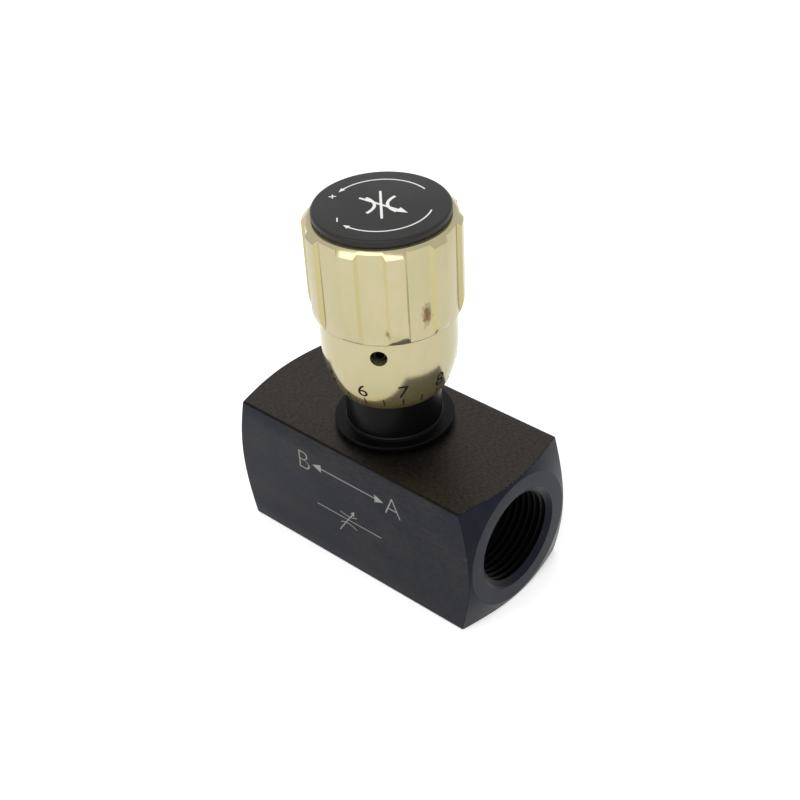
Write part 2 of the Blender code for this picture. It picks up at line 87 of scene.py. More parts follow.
# Bonnet.
BONNET_BOTTOM_Z = 28.0
BONNET_LAND_R = 9.7
LAND_TOP_Z = 33.7
LAND_GROOVE_R = 7.9
LAND_GROOVE_Z = (28.9, 33.1)
SHANK_R = 11.0
SHANK_Z = (34.1, 38.4)
BONNET_SEAT_R = 14.2
FLANGE_R = 15.34
FLANGE_Z = (39.4, 40.51)
COLLAR_R = 12.16
COLLAR_STEP_Z = 40.95
COLLAR_STEP_R = 12.5
COLLAR_Z = (41.2, 63.0)
NECK_R = 10.9
NECK_TOP_Z = 76.0
STEM_BORE_R = 5.3
PISTON_BORE_R = 7.2
PISTON_BORE_Z = (45.6, 46.4)
WIPER_GROOVE_Z = (70.6, 73.8)
SPANNER_HOLE_R = 1.25
SPANNER_HOLE_RING_R = 8.9
SPANNER_HOLE_DEPTH = 2.0

# Knob.
RIBS = 10
RIB_TOP_ANGLE = math.radians(13.2)
RIB_BASE_ANGLE = math.radians(17.4)
RIB_DIRECTION = math.radians(-39.0)
GRIP_R = 19.0
GRIP_TOP_Z = 98.3
GRIP_CHAMFER = 1.65
FLUTE_FLOOR_R = 18.05
SKIRT_R = 17.0
SKIRT_BOTTOM_Z = 51.0
SKIRT_BOTTOM_R = 12.9
SKIRT_CURVE_TOP_Z = 65.0
SKIRT_FULLNESS = 1.9
SKIRT_ROUNDNESS = 0.7
GRIP_BOTTOM_Z = 72.5
GRIP_ROUND_HEIGHT = 4.8
SKIRT_BORE_R = 12.46
SKIRT_BORE_TOP_Z = 63.6
NECK_BORE_R = 11.2
WEB_Z = (77.0, 88.0)
WEB_HOLE_SIDE = 7.2
RECESS_R = 15.2

# Dial on the skirt: numbers and ticks, counted from one number's direction.
DIAL_START = math.radians(-37.45)
DIAL_START_NUMBER = 7
DIAL_NUMBERS = 10
TICKS = 20
TICK_Z = (53.2, 55.4)
TICK_WIDTH = 0.36
NUMBER_Z = (56.1, 60.0)
NUMBER_STRETCH = 1.05
PRINT_THICKNESS = 0.03
PRINT_LAYER = 0.003

# Cap.
CAP_R = 16.63
CAP_BOTTOM_Z = 98.6
CAP_TOP_Z = 100.35
CAP_EDGE = 1.1
PLUG_BOTTOM_Z = 94.8
PLUG_R = 14.9
PLUG_INNER_R = 13.3
PLUG_CHAMFER = 0.5
# Print on the cap: angles are in degrees, counted from the print's direction.
PRINT_DIRECTION = -46.454
CAP_ARC_R = 12.15
CAP_ARC_WIDTH = 0.36
CAP_ARCS = ((120.5, 225.5, 233.9), (71.5, -39.0, -46.8))
ARROW_HALF_WIDTH = 0.65
PLUS_PLACE = (-115, 12.4)
MINUS_PLACE = (-60.6, 11.7)
SIGN_HALF_LENGTH = 0.75
SIGN_WIDTH = 0.32

# Locking screw.
LOCK_Z = 68.7
LOCK_DIRECTION = math.radians(-56.2)
LOCK_HOLE_R = 2.1
LOCK_HOLE_REACH = (8.0, 19.0)
SCREW_REACH = (12.3, 15.3)
SCREW_R = 1.8
SCREW_ROOT_R = 1.55
SCREW_PITCH = 0.5
SCREW_CHAMFER = 0.3
SCREW_SOCKET_R = 1.15
SCREW_SOCKET_DEPTH = 1.4

# Camera: where it stands, and how it is turned, in metres and degrees.
CAMERA_PLACE = (0.211776, -0.220605, 0.271941)
CAMERA_AZIMUTH = 43.546
CAMERA_ELEVATION = 36.7205
CAMERA_ROLL = -3.639
CAMERA_LENS = 67.747

# Studio, in metres, watts and radiance.
SOFTBOX_PLACE = (0.21, -0.53, 0.74)
SOFTBOX_TARGET = (0, 0, 0.06)
SOFTBOX_SIZE = (1.3, 0.44)
SOFTBOX_POWER = 4.4
WORLD_STRENGTH = 0.95
FLOOR_REACH = 3.0
FLOOR_GLOW = 0.25
FLOOR_GAP = 0.0001

# Sides of turned shapes.
FINE = 128
MEDIUM = 96
SMALL = 48
KNOB_SIDES = 160
END_SIDES = 192


# ---------------------------------------------------------------- mesh helpers


def rounded(outline, steps=4):
    """A closed outline of (r, z) or (r, z, radius) points, with each corner that has a radius made an arc."""
    made = []
    count = len(outline)
    for index, point in enumerate(outline):
        here = Vector(point[:2])
        radius = point[2] if len(point) > 2 else 0.0
        to_last = Vector(outline[index - 1][:2]) - here
        to_next = Vector(outline[(index + 1) % count][:2]) - here
        bend = to_last.angle(to_next)
        if radius <= 0 or abs(math.pi - bend) < 0.01:
            made.append(tuple(here))
            continue
        reach = min(radius / math.tan(bend / 2), 0.48 * to_last.length, 0.48 * to_next.length)
        start = here + to_last.normalized() * reach
        end = here + to_next.normalized() * reach
        for step in range(steps + 1):
            share = step / steps
            low = start.lerp(here, share)
            high = here.lerp(end, share)
            made.append(tuple(low.lerp(high, share)))
    return made


def lathe(outline, sides=FINE):
    """A closed bmesh turned about Z from a closed outline of (r, z) points in millimetres."""
    shape = bmesh.new()
    rings = []
    for radius, height in outline:
        if radius < 1e-6:
            pole = shape.verts.new((0, 0, height * MM))
            rings.append([pole] * sides)
            continue
        ring = []
        for side in range(sides):
            turn = math.tau * side / sides
            x, y = radius * math.cos(turn), radius * math.sin(turn)
            ring.append(shape.verts.new((x * MM, y * MM, height * MM)))
        rings.append(ring)
    for low, high in zip(rings, rings[1:] + rings[:1]):
        for side in range(sides):
            after = (side + 1) % sides
            add_face(shape, (low[side], low[after], high[after], high[side]))
    return shape


def add_face(shape, corners):
    """Adds a face on the distinct corners, if there are enough of them."""
    distinct = list(dict.fromkeys(corners))
    if len(distinct) > 2:
        shape.faces.new(distinct)


def prism(outline, bottom, top):
    """An upright block on an outline of (x, y) points."""
    shape = bmesh.new()
    base = shape.faces.new([shape.verts.new((x * MM, y * MM, bottom * MM)) for x, y in outline])
    grown = bmesh.ops.extrude_face_region(shape, geom=[base])["geom"]
    raised = [part for part in grown if isinstance(part, bmesh.types.BMVert)]
    bmesh.ops.translate(shape, verts=raised, vec=(0, 0, (top - bottom) * MM))
    return shape


def polygon(radius, count, turn=0.0):
    step = math.tau / count
    return [(radius * math.cos(turn + k * step), radius * math.sin(turn + k * step)) for k in range(count)]


def square(side):
    return polygon(side / math.sqrt(2), 4, math.pi / 4)


def aim(shape, direction, start):
    """Lays a shape built along Z along another direction, from a point in millimetres."""
    turn = Vector((0, 0, 1)).rotation_difference(Vector(direction)).to_matrix().to_4x4()
    bmesh.ops.transform(shape, matrix=Matrix.Translation(Vector(start) * MM) @ turn, verts=shape.verts)
    return shape


def join(shapes):
    """One bmesh from several."""
    whole = bmesh.new()
    for shape in shapes:
        mesh = bpy.data.meshes.new("joined")
        shape.to_mesh(mesh)
        shape.free()
        whole.from_mesh(mesh)
        bpy.data.meshes.remove(mesh)
    return whole


def add_object(name, shape, material=None):
    bmesh.ops.recalc_face_normals(shape, faces=shape.faces)
    mesh = bpy.data.meshes.new(name)
    shape.to_mesh(mesh)
    shape.free()
    made = bpy.data.objects.new(name, mesh)
    bpy.context.scene.collection.objects.link(made)
    if material:
        mesh.materials.append(material)
    return made


def apply_modifiers(target):
    """Replaces an object's mesh by what its modifiers make of it."""
    graph = bpy.context.evaluated_depsgraph_get()
    mesh = bpy.data.meshes.new_from_object(target.evaluated_get(graph))
    target.modifiers.clear()
    old = target.data
    target.data = mesh
    bpy.data.meshes.remove(old)


def cut(target, shape, material=None, operation="DIFFERENCE"):
    """Cuts a bmesh from an object. A material given here ends up on the faces that the cut leaves."""
    cutter = add_object("cutter", shape, material)
    change = target.modifiers.new("cut", "BOOLEAN")
    change.operation = operation
    change.solver = "EXACT"
    change.object = cutter
    change.material_mode = "TRANSFER" if material else "INDEX"
    apply_modifiers(target)
    bpy.data.objects.remove(cutter)


def soften_edges(target, width, angle, segments):
    change = target.modifiers.new("soft_edges", "BEVEL")
    change.width = width * MM
    change.segments = segments
    change.limit_method = "ANGLE"
    change.angle_limit = math.radians(angle)
    change.use_clamp_overlap = True
    change.miter_outer = "MITER_ARC"
    apply_modifiers(target)


def smooth(target, angle=20):
    target.data.shade_smooth()
    target.data.set_sharp_from_angle(angle=math.radians(angle))


def hand_over(piece, node):
    """The piece rides on its CAD node's body and stands for the node, which is hidden."""
    smooth(piece)
    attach(piece, BODY_OF[node])
    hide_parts(node)


# ---------------------------------------------------------------- materials

# Reflectance of the black oxide: on the sides, on top, in its clouds and on the long edges. The top's
# lighter, warmer colour and the sides' darker, cooler one are painted light, and the long edges' dark colour
# is painted shade.
STEEL_SIDE_PAINTED_SHADE = (0.0135, 0.0143, 0.0208)
STEEL_TOP_PAINTED_LIGHT = (0.0400, 0.0350, 0.0320)
STEEL_CLOUD = (0.0400, 0.0380, 0.0270)
STEEL_EDGE_PAINTED_SHADE = (0.0080, 0.0080, 0.0060)
STEEL_TURNED = (0.0120, 0.0130, 0.0190)
# The chromate's colours. The deep gold also paints a dark reflection low on the skirt, and the wall gold is a
# painted reflection that yellows the flute walls.
GOLD_GREEN = (0.415, 0.385, 0.222)
GOLD_PINK = (0.455, 0.395, 0.250)
GOLD_DEEP_TONE_AND_PAINTED_REFLECTION = (0.425, 0.350, 0.142)
GOLD_STAIN = (0.120, 0.060, 0.018)
GOLD_WALL_PAINTED_REFLECTION = (0.430, 0.368, 0.160)
# Stains on the knob: direction from its axis, height, half width and half height.
STAINS = (
    (-16.5, 79.6, 1.6, 3.6),
    (-46.6, 76.2, 0.9, 1.5),
    (98.0, 77.0, 1.2, 2.4),
    (-172.0, 76.0, 1.5, 2.0),
)
# Rings per millimetre on the turned faces.
RING_RATE = 4.5


def tinted(colour, share):
    return tuple(share * value for value in colour)


class Nodes:
    """A material's node tree, with short calls that add a node and link it."""

    def __init__(self, name):
        self.material = bpy.data.materials.new(name)
        self.material.use_nodes = True
        self.tree = self.material.node_tree
        self.shader = self.tree.nodes["Principled BSDF"]

    def add(self, kind, **settings):
        node = self.tree.nodes.new(kind)
        for key, value in settings.items():
            setattr(node, key, value)
        return node

    def link(self, source, target):
        self.tree.links.new(source, target)

    def coordinates(self, scale=(1, 1, 1), rotation=(0, 0, 0)):
        """Object coordinates in millimetres times a scale on each axis."""
        place = self.add("ShaderNodeTexCoord")
        mapping = self.add("ShaderNodeMapping")
        mapping.inputs["Scale"].default_value = [value / MM for value in scale]
        mapping.inputs["Rotation"].default_value = rotation
        self.link(place.outputs["Object"], mapping.inputs["Vector"])
        return mapping.outputs["Vector"]

    def noise(self, vector, detail, roughness, distortion=0.0):
        node = self.add("ShaderNodeTexNoise")
        node.inputs["Scale"].default_value = 1.0
        node.inputs["Detail"].default_value = detail
        node.inputs["Roughness"].default_value = roughness
        node.inputs["Distortion"].default_value = distortion
        self.link(vector, node.inputs["Vector"])
        return node.outputs["Fac"]

    def ramp(self, value, low, high, start=0.0, end=1.0):
        """Maps a value from low..high to start..end."""
        node = self.add("ShaderNodeMapRange")
        node.inputs["From Min"].default_value = low
        node.inputs["From Max"].default_value = high
        node.inputs["To Min"].default_value = start
        node.inputs["To Max"].default_value = end
        self.link(value, node.inputs["Value"])
        return node.outputs["Result"]

    def blend(self, factor, first, second):
        """Mixes two colours, each a tuple or a socket, by a factor socket."""
        node = self.add("ShaderNodeMix", data_type="RGBA")
        self.link(factor, node.inputs["Factor"])
        for value, socket in ((first, node.inputs[6]), (second, node.inputs[7])):
            if isinstance(value, tuple):
                socket.default_value = (*value, 1.0)
            else:
                self.link(value, socket)
        return node.outputs[2]

    def multiply(self, first, second):
        """One colour times another, both sockets."""
        node = self.add("ShaderNodeMix", data_type="RGBA", blend_type="MULTIPLY")
        node.inputs["Factor"].default_value = 1.0
        self.link(first, node.inputs[6])
        self.link(second, node.inputs[7])
        return node.outputs[2]

    def math(self, operation, first, second=None):
        node = self.add("ShaderNodeMath", operation=operation)
        for value, socket in ((first, node.inputs[0]), (second, node.inputs[1])):
            if value is None:
                continue
            if isinstance(value, (int, float)):
                socket.default_value = value
            else:
                self.link(value, socket)
        return node.outputs["Value"]

    def distance(self, vector, centre, size):
        """How far a place is from a centre, counted in sizes on each axis."""
        offset = self.add("ShaderNodeVectorMath", operation="SUBTRACT")
        offset.inputs[1].default_value = centre
        self.link(vector, offset.inputs[0])
        scaled = self.add("ShaderNodeVectorMath", operation="DIVIDE")
        scaled.inputs[1].default_value = size
        self.link(offset.outputs["Vector"], scaled.inputs[0])
        length = self.add("ShaderNodeVectorMath", operation="LENGTH")
        self.link(scaled.outputs["Vector"], length.inputs[0])
        return length.outputs["Value"]

    def sideways(self, place):
        """How far a surface faces around the spindle axis, rather than out from it or up."""
        geometry = self.add("ShaderNodeNewGeometry")
        flat = self.add("ShaderNodeVectorMath", operation="MULTIPLY")
        flat.inputs[1].default_value = (1, 1, 0)
        self.link(place, flat.inputs[0])
        out = self.add("ShaderNodeVectorMath", operation="NORMALIZE")
        self.link(flat.outputs["Vector"], out.inputs[0])
        cross = self.add("ShaderNodeVectorMath", operation="CROSS_PRODUCT")
        self.link(out.outputs["Vector"], cross.inputs[0])
        self.link(geometry.outputs["Normal"], cross.inputs[1])
        parts = self.add("ShaderNodeSeparateXYZ")
        self.link(cross.outputs["Vector"], parts.inputs["Vector"])
        return self.math("ABSOLUTE", parts.outputs["Z"])

    def bump(self, height, distance, strength=1.0, under=None):
        node = self.add("ShaderNodeBump")
        node.inputs["Strength"].default_value = strength
        node.inputs["Distance"].default_value = distance * MM
        self.link(height, node.inputs["Height"])
        if under:
            self.link(under, node.inputs["Normal"])
        return node.outputs["Normal"]

    def finish(self, colour, roughness, normal=None, **sockets):
        """Sets the shader's sockets to values, or links them to sockets, and returns the material."""
        for key, value in sockets.items():
            self.shader.inputs[key.replace("_", " ")].default_value = value
        for value, name in ((colour, "Base Color"), (roughness, "Roughness")):
            socket = self.shader.inputs[name]
            if isinstance(value, tuple):
                socket.default_value = (*value, 1.0)
            elif isinstance(value, (int, float)):
                socket.default_value = value
            else:
                self.link(value, socket)
        if normal:
            self.link(normal, self.shader.inputs["Normal"])
        return self.material


def ground_black_steel_painted_light(name):
    """Black oxide over drawn steel: streaks along X, with painted light that makes the top warmer and lighter
    than the sides, and painted shade on the long edges.
    """
    nodes = Nodes(name)
    streaks = nodes.noise(nodes.coordinates((0.8, 2.6, 2.6)), 4.0, 0.6)
    cloud = nodes.noise(nodes.coordinates((0.08, 0.12, 0.12)), 3.0, 0.5)
    grain = nodes.noise(nodes.coordinates((1.6, 1.6, 1.6)), 2.0, 0.5)
    place = nodes.add("ShaderNodeNewGeometry")
    parts = nodes.add("ShaderNodeSeparateXYZ")
    nodes.link(place.outputs["Normal"], parts.inputs["Vector"])
    # Painted light: the colour turns from the sides' darker, cooler tone to the top's lighter, warmer one as
    # the normal faces up.
    film = nodes.blend(nodes.ramp(parts.outputs["Z"], 0.3, 0.8), STEEL_SIDE_PAINTED_SHADE, STEEL_TOP_PAINTED_LIGHT)
    film = nodes.blend(nodes.ramp(cloud, 0.42, 0.7, 0.0, 0.25), film, STEEL_CLOUD)
    light = nodes.blend(nodes.ramp(streaks, 0.3, 0.7), (0.5, 0.5, 0.5), (1.5, 1.5, 1.5))
    colour = nodes.multiply(film, light)
    # Painted shade: where the normal slants between side and top or bottom, on the long edges' rounding, the
    # colour turns nearly black.
    slope = nodes.math("ABSOLUTE", nodes.math("MULTIPLY", parts.outputs["Y"], parts.outputs["Z"]))
    colour = nodes.blend(nodes.ramp(slope, 0.1, 0.3, 0.0, 0.9), colour, STEEL_EDGE_PAINTED_SHADE)
    roughness = nodes.ramp(streaks, 0.3, 0.7, 0.36, 0.5)
    fine = nodes.bump(grain, 0.012)
    normal = nodes.bump(streaks, 0.012, under=fine)
    return nodes.finish(colour, roughness, normal, Metallic=1.0)


def turned_black_steel(name):
    """Black oxide over a lathe-turned face: fine rings about the port axis."""
    nodes = Nodes(name)
    place = nodes.add("ShaderNodeTexCoord")
    axis = nodes.add("ShaderNodeVectorMath", operation="SUBTRACT")
    axis.inputs[1].default_value = (0, 0, AXIS_Z * MM)
    nodes.link(place.outputs["Object"], axis.inputs[0])
    flat = nodes.add("ShaderNodeVectorMath", operation="MULTIPLY")
    flat.inputs[1].default_value = (0, 1, 1)
    nodes.link(axis.outputs["Vector"], flat.inputs[0])
    length = nodes.add("ShaderNodeVectorMath", operation="LENGTH")
    nodes.link(flat.outputs["Vector"], length.inputs[0])
    across = nodes.math("MULTIPLY", length.outputs["Value"], RING_RATE / MM)
    ring_place = nodes.add("ShaderNodeCombineXYZ")
    nodes.link(across, ring_place.inputs["X"])
    rings = nodes.noise(ring_place.outputs["Vector"], 2.0, 0.6)
    cloud = nodes.noise(nodes.coordinates((0.12, 0.12, 0.12)), 3.0, 0.5)
    colour = nodes.blend(nodes.ramp(cloud, 0.3, 0.7), tinted(STEEL_TURNED, 0.85), tinted(STEEL_TURNED, 1.15))
    roughness = nodes.ramp(rings, 0.3, 0.7, 0.32, 0.42)
    normal = nodes.bump(rings, 0.01)
    return nodes.finish(colour, roughness, normal, Metallic=1.0)


def satin_black(name, colour, roughness, shine, metallic=0.0, grain=0.01):
    """Smooth black with a fine turned or moulded grain."""
    nodes = Nodes(name)
    lines = nodes.noise(nodes.coordinates((0.08, 0.08, 2.2)), 2.0, 0.5)
    specks = nodes.noise(nodes.coordinates((3.0, 3.0, 3.0)), 2.0, 0.5)
    tone = nodes.blend(nodes.ramp(specks, 0.3, 0.7), tinted(colour, 0.8), tinted(colour, 1.25))
    rough = nodes.ramp(lines, 0.3, 0.7, roughness - 0.05, roughness + 0.05)
    normal = nodes.bump(specks, grain)
    return nodes.finish(tone, rough, normal, Metallic=metallic, Specular_IOR_Level=shine)


def chromated_zinc_painted_reflection(name):
    """Pale gold chromate over zinc: the faint pink and green of a thin film, with a few brown stains, and
    painted reflection that darkens the skirt's lower end and yellows the flute walls.
    """
    nodes = Nodes(name)
    cloud = nodes.noise(nodes.coordinates((0.13, 0.13, 0.06)), 3.0, 0.55, 0.6)
    patches = nodes.noise(nodes.coordinates((0.4, 0.4, 0.18), (0.4, 0.2, 0.0)), 4.0, 0.6)
    lines = nodes.noise(nodes.coordinates((0.1, 0.1, 3.5)), 3.0, 0.5)
    specks = nodes.noise(nodes.coordinates((2.5, 2.5, 2.5)), 2.0, 0.5)
    gold = nodes.blend(nodes.ramp(cloud, 0.35, 0.65), GOLD_GREEN, GOLD_PINK)
    gold = nodes.blend(nodes.ramp(patches, 0.5, 0.75, 0.0, 0.35), gold, GOLD_DEEP_TONE_AND_PAINTED_REFLECTION)
    place = nodes.coordinates()
    parts = nodes.add("ShaderNodeSeparateXYZ")
    nodes.link(place, parts.inputs["Vector"])
    # Painted reflection: below 60 mm the skirt turns towards the deep gold, most of the way by 53 mm, as
    # where it mirrors the dark body.
    colour = nodes.blend(nodes.ramp(parts.outputs["Z"], 60.0, 53.0, 0.0, 0.9), gold, GOLD_DEEP_TONE_AND_PAINTED_REFLECTION)
    # Painted reflection: faces that turn around the axis, the flute walls, get a yellower gold.
    colour = nodes.blend(nodes.ramp(nodes.sideways(place), 0.2, 0.5, 0.0, 0.7), colour, GOLD_WALL_PAINTED_REFLECTION)
    ragged = nodes.noise(nodes.coordinates((1.1, 1.1, 0.7)), 3.0, 0.6)
    for direction, height, half_width, half_height in STAINS:
        turn = math.radians(direction)
        centre = (FLUTE_FLOOR_R * math.cos(turn), FLUTE_FLOOR_R * math.sin(turn), height)
        away = nodes.distance(place, centre, (half_width, half_width, half_height))
        edge = nodes.math("ADD", away, nodes.ramp(ragged, 0.3, 0.7, -0.35, 0.35))
        colour = nodes.blend(nodes.ramp(edge, 1.0, 0.3, 0.0, 0.9), colour, GOLD_STAIN)
    roughness = nodes.ramp(specks, 0.3, 0.7, 0.13, 0.19)
    normal = nodes.bump(lines, 0.006, under=nodes.bump(cloud, 0.05, 0.4))
    return nodes.finish(colour, roughness, normal, Metallic=0.84)


def bare_metal(name, colour, roughness):
    """Turned metal without a coating."""
    nodes = Nodes(name)
    lines = nodes.noise(nodes.coordinates((0.1, 0.1, 4.0)), 3.0, 0.5)
    cloud = nodes.noise(nodes.coordinates((0.3, 0.3, 0.3)), 2.0, 0.5)
    tone = nodes.blend(nodes.ramp(cloud, 0.3, 0.7), tinted(colour, 0.85), colour)
    rough = nodes.ramp(lines, 0.3, 0.7, roughness - 0.06, roughness + 0.06)
    return nodes.finish(tone, rough, nodes.bump(lines, 0.006), Metallic=1.0)


def soft_polymer(name, colour, roughness):
    """Rubber or plastic of the seals."""
    nodes = Nodes(name)
    specks = nodes.noise(nodes.coordinates((4.0, 4.0, 4.0)), 2.0, 0.5)
    cloud = nodes.noise(nodes.coordinates((0.5, 0.5, 0.5)), 2.0, 0.5)
    tone = nodes.blend(nodes.ramp(cloud, 0.3, 0.7), tinted(colour, 0.8), colour)
    rough = nodes.ramp(specks, 0.3, 0.7, roughness - 0.05, roughness + 0.05)
    return nodes.finish(tone, rough, nodes.bump(specks, 0.01), Metallic=0.0)


def ink(name, colour, roughness):
    """Printed or laser-marked lines, slightly uneven."""
    nodes = Nodes(name)
    specks = nodes.noise(nodes.coordinates((5.0, 5.0, 5.0)), 2.0, 0.6)
    tone = nodes.blend(nodes.ramp(specks, 0.35, 0.65), tinted(colour, 0.8), colour)
    rough = nodes.ramp(specks, 0.3, 0.7, roughness - 0.05, roughness + 0.05)
    return nodes.finish(tone, rough, Metallic=0.0, Specular_IOR_Level=0.15)


# ---------------------------------------------------------------- body


def body_blank(steel, turned):
    """Square bar with softened long edges, turned at both ends to a ring and a shallow cone."""
    half = BODY_LENGTH / 2
    corner = BODY_SIDE / 2 - BODY_EDGE
    outline = []
    for quarter in range(4):
        turn = math.pi / 2 * quarter + math.pi / 4
        centre = Vector((math.cos(turn), math.sin(turn))) * corner * math.sqrt(2)
        for step in range(4):
            angle = turn + math.pi / 2 * (step / 3 - 0.5)
            outline.append((centre.x + BODY_EDGE * math.cos(angle), centre.y + BODY_EDGE * math.sin(angle)))
    bar = aim(prism(outline, -half - 2, half + 2), (1, 0, 0), (0, 0, AXIS_Z))
    body = add_object("valve_body_fine", bar, steel)
    outer_r = BODY_SIDE
    shoulder = half - (outer_r - END_RING_R) * math.tan(END_CONE)
    profile = rounded(
        [
            (0, -half),
            (END_RING_R, -half, 1.2),
            (outer_r, -shoulder),
            (outer_r, shoulder),
            (END_RING_R, half, 1.2),
            (0, half),
        ]
    )
    cut(body, aim(lathe(profile, END_SIDES), (1, 0, 0), (0, 0, AXIS_Z)), turned, "INTERSECT")
    soften_edges(body, 0.12, 30, 1)
    return body


def thread_tool(sides=MEDIUM):
    """The port's taper thread as one solid to cut away, along Z with the port's face at zero."""
    rows = len(THREAD_PROFILE)
    turns = math.ceil((THREAD_LENGTH - THREAD_START) / THREAD_PITCH) + 2
    shape = bmesh.new()

    def ring_radius(depth):
        return THREAD_MINOR_R - PORT_TAPER * depth

    def circle(radius, depth):
        return [shape.verts.new((x * MM, y * MM, depth * MM)) for x, y in polygon(radius, sides)]

    start = circle(ring_radius(THREAD_START), THREAD_START)
    end = circle(ring_radius(THREAD_LENGTH), THREAD_LENGTH)
    known = {}

    def corner(side, row):
        if side == sides:
            side, row = 0, row + rows
        phase, height = THREAD_PROFILE[row % rows]
        depth = THREAD_START - THREAD_PITCH + (row // rows + phase + side / sides) * THREAD_PITCH
        if depth <= THREAD_START:
            return start[side]
        if depth >= THREAD_LENGTH:
            return end[side]
        if (side, row) not in known:
            fade_in = (depth - THREAD_START) / THREAD_FADE_IN
            fade_out = (THREAD_LENGTH - depth) / THREAD_FADE_OUT
            radius = ring_radius(depth) + THREAD_DEPTH * height * min(1.0, fade_in, fade_out)
            turn = math.tau * side / sides
            x, y = radius * math.cos(turn), radius * math.sin(turn)
            known[side, row] = shape.verts.new((x * MM, y * MM, depth * MM))
        return known[side, row]

    for side in range(sides):
        for row in range(turns * rows):
            near = (corner(side, row), corner(side + 1, row))
            far = (corner(side + 1, row + 1), corner(side, row + 1))
            add_face(shape, near + far)
    drilled_r = ring_radius(PORT_DEPTH)
    drilled = circle(drilled_r, PORT_DEPTH)
    tip = circle(drilled_r * DRILL_TIP_SHARE, PORT_DEPTH + drilled_r * DRILL_TIP_HEIGHT)
    for low, high in ((end, drilled), (drilled, tip)):
        for side in range(sides):
            after = (side + 1) % sides
            shape.faces.new((low[side], low[after], high[after], high[side]))
    shape.faces.new(start)
    shape.faces.new(tip)
    return shape


def port_mouth():
    """The chamfer at a port's mouth, along Z with the port's face at zero."""
    slope = (MOUTH_R - THREAD_MINOR_R) / MOUTH_DEPTH
    bottom = MOUTH_DEPTH + 0.7
    outline = [
        (0, -1),
        (MOUTH_R + slope, -1),
        (THREAD_MINOR_R, MOUTH_DEPTH),
        (THREAD_MINOR_R - 1, bottom),
        (0, bottom),
    ]
    return lathe(outline, MEDIUM)


def spindle_well():
    outline = [
        (0, WELL_BOTTOM_Z - WELL_TIP_HEIGHT),
        (SEAT_R, WELL_BOTTOM_Z),
        (SEAT_R, SEAT_Z),
        (SEAT_R + SEAT_CHAMFER, CHAMBER_FLOOR_Z),
        (CHAMBER_R, CHAMBER_FLOOR_Z),
        (CHAMBER_R, BODY_THREAD_Z - (BODY_THREAD_R - CHAMBER_R)),
        (BODY_THREAD_R, BODY_THREAD_Z),
        (BODY_THREAD_R, COUNTERBORE_Z),
        (COUNTERBORE_R, COUNTERBORE_Z),
        (COUNTERBORE_R, COUNTERBORE_Z + 1),
        (TOP_BORE_R, BODY_SIDE + 0.1),
        (TOP_BORE_R, BODY_SIDE + 1),
        (0, BODY_SIDE + 1),
    ]
    return lathe(outline, MEDIUM)


def stroke(start, end, width):
    """A straight stroke with round ends, as an outline of (x, y) points."""
    start, end = Vector(start), Vector(end)
    heading = math.atan2(end.y - start.y, end.x - start.x)
    outline = []
    for centre, base in ((end, heading - math.pi / 2), (start, heading + math.pi / 2)):
        for step in range(5):
            turn = base + math.pi * step / 4
            outline.append((centre.x + width / 2 * math.cos(turn), centre.y + width / 2 * math.sin(turn)))
    return outline


def band(points, width):
    """A stroke of even width along a bent line, as an outline."""
    left, right = [], []
    for index, point in enumerate(points):
        before = Vector(points[max(index - 1, 0)])
        after = Vector(points[min(index + 1, len(points) - 1)])
        side = (after - before).normalized().orthogonal() * width / 2
        left.append(tuple(Vector(point) + side))
        right.append(tuple(Vector(point) - side))
    return left + right[::-1]


def bow(start, middle, end, count=12):
    """Points on a smooth bow through three points."""
    start, middle, end = Vector(start), Vector(middle), Vector(end)
    control = 2 * middle - 0.5 * (start + end)
    points = []
    for step in range(count + 1):
        t = step / count
        points.append(tuple((1 - t) ** 2 * start + 2 * t * (1 - t) * control + t * t * end))
    return points


def arc(radius, start, end, count):
    """Points on an arc about the origin, between two angles in radians."""
    turns = [start + (end - start) * step / count for step in range(count + 1)]
    return [(radius * math.cos(t), radius * math.sin(t)) for t in turns]


def letter(character, height, place, stretch=1.0, weight=0.0):
    """A letter's or digit's outline as a flat mesh, centred across on a place, standing on its height."""
    curve = bpy.data.curves.new("letter", "FONT")
    curve.body = character
    curve.offset = weight
    curve.resolution_u = 6
    source = bpy.data.objects.new("letter", curve)
    bpy.context.scene.collection.objects.link(source)
    graph = bpy.context.evaluated_depsgraph_get()
    mesh = bpy.data.meshes.new_from_object(source.evaluated_get(graph))
    bpy.data.objects.remove(source)
    bpy.data.curves.remove(curve)
    shape = bmesh.new()
    shape.from_mesh(mesh)
    bpy.data.meshes.remove(mesh)
    low = Vector((min(v.co.x for v in shape.verts), min(v.co.y for v in shape.verts)))
    high = Vector((max(v.co.x for v in shape.verts), max(v.co.y for v in shape.verts)))
    scale = height / (high.y - low.y)
    for vert in shape.verts:
        across = (vert.co.x - (low.x + high.x) / 2) * scale * stretch
        vert.co = Vector(((place[0] + across) * MM, (place[1] + (vert.co.y - low.y) * scale) * MM, 0))
    return shape


def thicken(shape, depth):
    """Gives a flat shape a thickness along Z."""
    grown = bmesh.ops.extrude_face_region(shape, geom=list(shape.faces))["geom"]
    raised = [part for part in grown if isinstance(part, bmesh.types.BMVert)]
    bmesh.ops.translate(shape, verts=raised, vec=(0, 0, depth * MM))
    return shape


